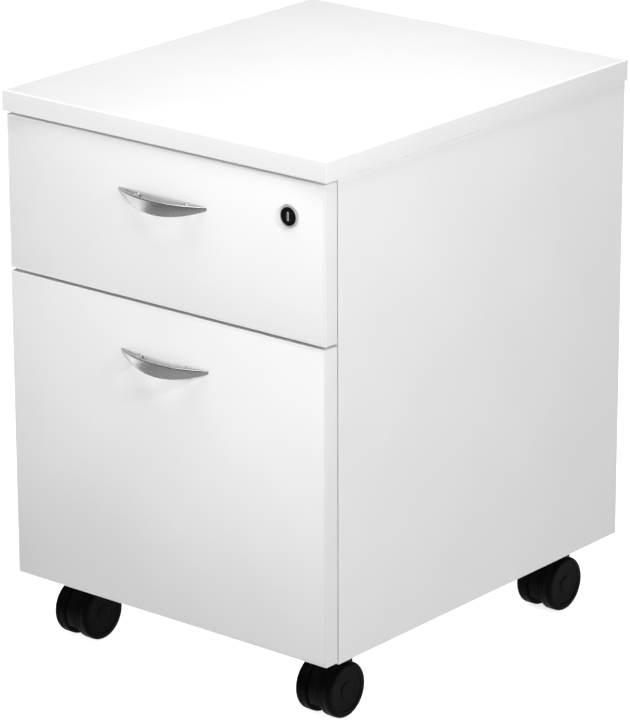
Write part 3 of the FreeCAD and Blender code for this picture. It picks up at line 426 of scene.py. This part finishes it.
def makeFlag():
    # a grey flag low in front, seen only in reflections: it gives the handles their dark face
    farLeft, farRight, farY = flagCard["far"]
    nearLeft, nearRight, nearY = flagCard["near"]
    z = flagCard["level"]
    corners = [(farLeft, farY, z), (farRight, farY, z), (nearRight, nearY, z), (nearLeft, nearY, z)]
    flag = flatCard("frontFlag", corners)
    material, _, _, shader, _ = newMaterial("flagGrey")
    shader.inputs["Base Color"].default_value = flagCard["grey"]
    shader.inputs["Roughness"].default_value = 1.0
    flag.data.materials.append(material)
    flag.visible_camera = flag.visible_shadow = flag.visible_diffuse = False


lights = {
    "keyRight": {
        "place": (1.232, -0.501, 1.144), "aim": (0.0, -0.25, 0.53), "size": (0.09, 0.09), "watts": 7.5,
    },
    "topSoft": {
        "place": (0.0, 0.0, 2.3), "aim": (0.0, 0.0, 0.6), "size": (1.8, 1.8), "watts": 48.8,
    },
    "frontNear": {
        "place": (-0.02, -1.1, 0.55), "aim": (-0.02, -0.24, 0.50), "size": (0.5, 0.3), "watts": 4.2,
    },
    "rightNear": {
        "place": (1.4, -0.25, 0.42), "aim": (0.21, -0.10, 0.36), "size": (0.6, 0.4), "watts": 1.8,
    },
}


def makeLights():
    for name, light in lights.items():
        data = bpy.data.lights.new(name, "AREA")
        data.shape = "RECTANGLE"
        data.size, data.size_y = light["size"]
        data.energy = light["watts"]
        lamp = bpy.data.objects.new(name, data)
        lamp.location = light["place"]
        towards = Vector(light["aim"]) - Vector(light["place"])
        lamp.rotation_euler = towards.to_track_quat("-Z", "Y").to_euler()
        lamp.visible_glossy = name == "topSoft"
        bpy.context.scene.collection.objects.link(lamp)
    # the sky has one strength above the horizon and another below it, with a soft step between
    world = bpy.data.worlds.new("studioSky")
    world.use_nodes = True
    world.node_tree.nodes["Background"].inputs["Color"].default_value = (1, 1, 1, 1)
    nodes, links = world.node_tree.nodes, world.node_tree.links
    where = nodes.new("ShaderNodeTexCoord")
    split = nodes.new("ShaderNodeSeparateXYZ")
    links.new(where.outputs["Generated"], split.inputs["Vector"])
    step = nodes.new("ShaderNodeMapRange")
    step.inputs["From Min"].default_value = -studio["horizon"]
    step.inputs["From Max"].default_value = studio["horizon"]
    step.inputs["To Min"].default_value = studio["below"]
    step.inputs["To Max"].default_value = studio["sky"]
    links.new(split.outputs["Z"], step.inputs["Value"])
    links.new(step.outputs["Result"], nodes["Background"].inputs["Strength"])
    bpy.context.scene.world = world
    bpy.context.scene.view_settings.view_transform = "Standard"


makeCamera()
makeFloor()
makeFlag()
makeLights()
print("camera, floor and lights set")


board = {"round": 0.0009, "corner": 0.0012, "band": 0.0024}


def plainBoard(node, thin):
    # a rectangle of the node's own box, with round corners, eased edges and the joint line of its edge band;
    # the node's bores are left out
    low, high = (np.array(corner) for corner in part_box(node))
    middle, half = (low + high) / 2, (high - low) / 2
    a, b = [axis for axis in range(3) if axis != thin]
    shell = plateShell(
        lambda inset: rectangleLoop(half[a], half[b], board["corner"], inset),
        thin, middle, half[thin], board["round"], board["band"],
    )
    makePiece(node + "_board", [shell], finishes["laminate"], bodyOf[node], [node])


plainBoard("top_panel", 2)
plainBoard("filing_front", 1)
plainBoard("stationery_front", 1)
print("boards made")


handle = {
    "halfSpan": 0.0592, "reach": 0.0182, "height": 0.016, "tip": 0.005, "wall": 0.0035, "tuck": 0.003,
    "round": 0.0013, "crown": 0.0005, "postAcross": 0.032, "postDrop": 0.0055, "postRadius": 0.004,
    "postLength": 0.0098, "flare": 0.0007, "flareLength": 0.0014,
}


def bowHandle(node):
    # a strap bent to a circle of radius R in plan, R = (s^2 + d^2) / 2d for half span s and reach d; its
    # height falls to the tips along another circle, each line of it runs to where it meets the drawer front,
    # at the angle arccos((R - d) / r), and its outer face is crowned and drawn in towards the lower edge
    low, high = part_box(node)
    top, face = high[2], high[1]
    s, d, rise = handle["halfSpan"], handle["reach"], handle["height"] - handle["tip"]
    bend, belly = (s * s + d * d) / (2 * d), (s * s + rise * rise) / (2 * rise)
    along = np.sin(np.linspace(-np.pi / 2, np.pi / 2, 81))[:, None]
    height = handle["height"] - belly + np.sqrt(belly**2 - (s * along) ** 2)
    count, corner = 6, handle["round"]
    turns = np.radians(np.linspace(0, 90, count) + 90 * np.arange(4)[:, None]).reshape(-1)
    signR, signZ = np.repeat([1, -1, -1, 1], count), np.repeat([1, 1, -1, -1], count)
    across = signR * (handle["wall"] / 2 - corner) + corner * np.cos(turns)
    upright = signZ * (height / 2 - corner) + corner * np.sin(turns)
    share = 0.5 - upright / height
    outerSide = np.clip(across / (handle["wall"] / 2), 0, 1)
    crown = handle["crown"] * (1 - (2 * share - 1) ** 2) * outerSide
    radius = bend - handle["wall"] / 2 + across - handle["tuck"] * share * height / handle["height"] + crown
    radius = np.minimum(radius, bend)
    angle = along * np.arccos((bend - d) / radius)
    points = np.stack([
        radius * np.sin(angle), face - d + bend - radius * np.cos(angle), top - height / 2 + upright,
    ], axis=2)
    shells = [gridShell(points)]
    for hand in (-1, 1):
        place = np.array((handle["postAcross"] * hand, face, top - handle["postDrop"]))
        r, flare, length = handle["postRadius"], handle["flare"], handle["postLength"]
        corners = [
            (0, 0), (0, r + flare), (-flare, r + flare - 0.0001),
            (-handle["flareLength"], r), (-length, r), (-length, 0),
        ]
        profile = roundedPath(corners, [0, 0.0003, 0.0003, 0.0008, 0, 0], 4)
        shells.append(turned(place, 1, profile, 40))
    makePiece(node + "_bow", shells, finishes["handle_metal"], bodyOf[node], [node])


bowHandle("stationery_handle")
bowHandle("filing_handle")
print("handles made")


lock = {
    "across": 0.1658, "level": 0.545, "face": 0.0093, "flange": 0.0125, "bore": 0.0061, "barrel": 0.009,
    "recess": 0.0014, "flangeThick": 0.002, "discThick": 0.0015,
    "insert": (0.00105, 0.0046), "slitPaintedShade": (0.00032, 0.0034),
}


def makeLock():
    # all turned about the lock's axis: the collar is a ring round the plug's bore, the disc fills its recess
    low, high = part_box("lock_housing")
    front, rear = low[1], high[1]
    axis = np.array((lock["across"], 0.0, lock["level"]))
    f, r = lock["flange"], lock["face"] + 0.0003
    collar = roundedPath([
        (front + lock["recess"], lock["bore"]), (front + lock["recess"], r), (front, r), (front, r + 0.0006),
        (front + 0.0005, f - 0.0002), (front + lock["flangeThick"], f),
        (front + lock["flangeThick"], lock["barrel"]),
        (rear, lock["barrel"]), (rear, lock["bore"]),
    ], [0.0002, 0.0002, 0.0004, 0.0004, 0.0009, 0.0001, 0, 0.0004, 0.0004], 5, closed=True)
    makePiece("lock_collar", [turned(axis, 1, collar, 96, ring=True)], finishes["lock_metal"],
              bodyOf["lock_housing"], ["lock_housing"])
    low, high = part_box("lock_plug")
    front, rear = low[1], high[1]
    face = lock["face"]
    stem = lock["bore"] - 0.0001
    disc = roundedPath([
        (front + 0.0003, 0), (front + 0.0003, 0.0056), (front, 0.0061), (front, face),
        (front + lock["discThick"], face), (front + lock["discThick"], stem), (rear, stem), (rear, 0),
    ], [0, 0.0004, 0.0004, 0.0005, 0, 0, 0.0003, 0], 5)
    makePiece("lock_disc", [turned(axis, 1, disc, 96)], finishes["lock_face"], bodyOf["lock_plug"],
              ["lock_plug"])
    # the keyway's metal insert: a stadium plate, and down its middle a thin black strip that is painted shade
    # standing for the keyway's dark channel
    halfWide, halfTall = lock["insert"]
    outline = rectangleLoop(halfWide, halfTall, halfWide - 0.00001, 0, 10)
    place = (axis[0], front + 0.0002, axis[2])
    plate = plateShell(lambda inset: insetLoop(outline, inset), 1, place, 0.0004, 0.0002)
    makePiece("lock_keyway", [plate], finishes["lock_metal"], bodyOf["lock_plug"])
    # painted shade: a thin black plate laid on the insert's face where the keyway's hollow channel would be
    # dark
    halfWide, halfTall = lock["slitPaintedShade"]
    slitPaintedShade = rectangleLoop(halfWide, halfTall, halfWide - 0.00002, 0, 6)
    place = (axis[0], front - 0.0001, axis[2])
    channelPaintedShade = plateShell(lambda inset: insetLoop(slitPaintedShade, inset), 1, place, 0.00012, 0.00005)
    makePiece("lock_painted_shade_strip", [channelPaintedShade], finishes["lock_face"], bodyOf["lock_plug"])


makeLock()
print("lock made")


wheel = {
    "inner": 0.008, "outer": 0.023, "radius": 0.030, "shoulder": 0.004, "bore": 0.0031, "treadCrown": 0.00015,
    "capDepth": 0.0002, "capRadius": 0.0085, "rim": 0.0072, "dish": 0.0010,
}


def castorWheel(node):
    # turned about the axle: a crowned tread with a fine parting line, round shoulders, a dished outer face
    # with a low hub cap, and a blind bore for the axle
    low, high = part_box(node)
    outward = 1 if "right_wheel" in node else -1
    centre = np.array([(low[0] - wheel["inner"]) if outward > 0 else (high[0] + wheel["inner"]),
                       (low[1] + high[1]) / 2, (low[2] + high[2]) / 2])
    i, o, r, c = wheel["inner"], wheel["outer"], wheel["radius"], wheel["treadCrown"]
    cap, hub, rim = wheel["capDepth"], wheel["capRadius"], wheel["rim"]
    middle = (i + 0.0015 + o - wheel["shoulder"]) / 2
    corners = [
        (o - 0.002, 0), (o - 0.002, wheel["bore"]), (i, wheel["bore"]), (i, r - c), (middle - 0.0002, r),
        (middle, r - 0.00015), (middle + 0.0002, r), (o - 0.0003, r - c), (o, r - rim),
        (o - 0.0007, r - rim - 0.0008),
        (o - wheel["dish"], hub + 0.0010), (o - cap, hub), (o - cap, 0),
    ]
    radii = [0, 0, 0.0004, 0.0015, 0, 0, 0, wheel["shoulder"] - 0.0003, 0.0006, 0.0006, 0.0006, 0.0007, 0]
    profile = roundedPath(corners, radii, 9)
    profile[:, 0] *= outward
    shell = turned(centre, 0, profile, 120)
    makePiece(node + "_tyre", [shell], finishes["wheel_plastic"], bodyOf[node], [node])


hood = {
    "half": 0.0075, "radius": 0.0285, "axle": 0.030, "cut": 29.5, "trail": 0.018, "round": 0.0014,
    "neckFront": 0.014, "neckRear": 0.010, "neckFoot": 0.034, "neckTop": 0.0635,
    "boss": 0.010, "bossFoot": 0.0605, "bossTop": 0.0745,
}


def castorHood(node):
    # the hood is a disc of the wheels' size cut off below, with a neck up to the swivel's boss; it is solid,
    # without the pin's bore
    low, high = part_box(node)
    centre = (low[0] + high[0]) / 2
    hub = low[1] + hood["radius"]
    pin = hub + hood["trail"]
    angle = np.radians(np.linspace(-hood["cut"], 180 + hood["cut"], 80))
    radius = hood["radius"]
    disc = np.stack([hub + radius * np.cos(angle), hood["axle"] + radius * np.sin(angle)], axis=1)
    fore, aft = pin - hood["neckFront"], pin + hood["neckRear"]
    foot, top = hood["neckFoot"], hood["neckTop"]
    neck = roundedPath(
        [(fore, foot), (aft, foot), (aft, top), (fore, top)], [0.0015, 0.003, 0.004, 0.006], 7, closed=True,
    )
    shells = []
    for line in (disc, neck):
        loopAt = lambda inset, line=line: insetLoop(line, inset)
        shells.append(plateShell(loopAt, 0, (centre, 0, 0), hood["half"], hood["round"]))
    foot, top, radius = hood["bossFoot"], hood["bossTop"], hood["boss"]
    boss = roundedPath(
        [(foot, 0), (foot, radius), (top - 0.002, radius), (top, radius - 0.001), (top, 0)],
        [0, 0.0012, 0.001, 0.0006, 0], 5,
    )
    shells.append(turned(np.array((centre, pin, 0.0)), 2, boss, 60))
    makePiece(node + "_moulding", shells, finishes["castor_plastic"], bodyOf[node], [node])


for end in ("front", "rear"):
    for side in ("left", "right"):
        castorHood(f"{end}_{side}_castor_housing")
        castorWheel(f"{end}_{side}_castor_left_wheel")
        castorWheel(f"{end}_{side}_castor_right_wheel")
print("castors made")
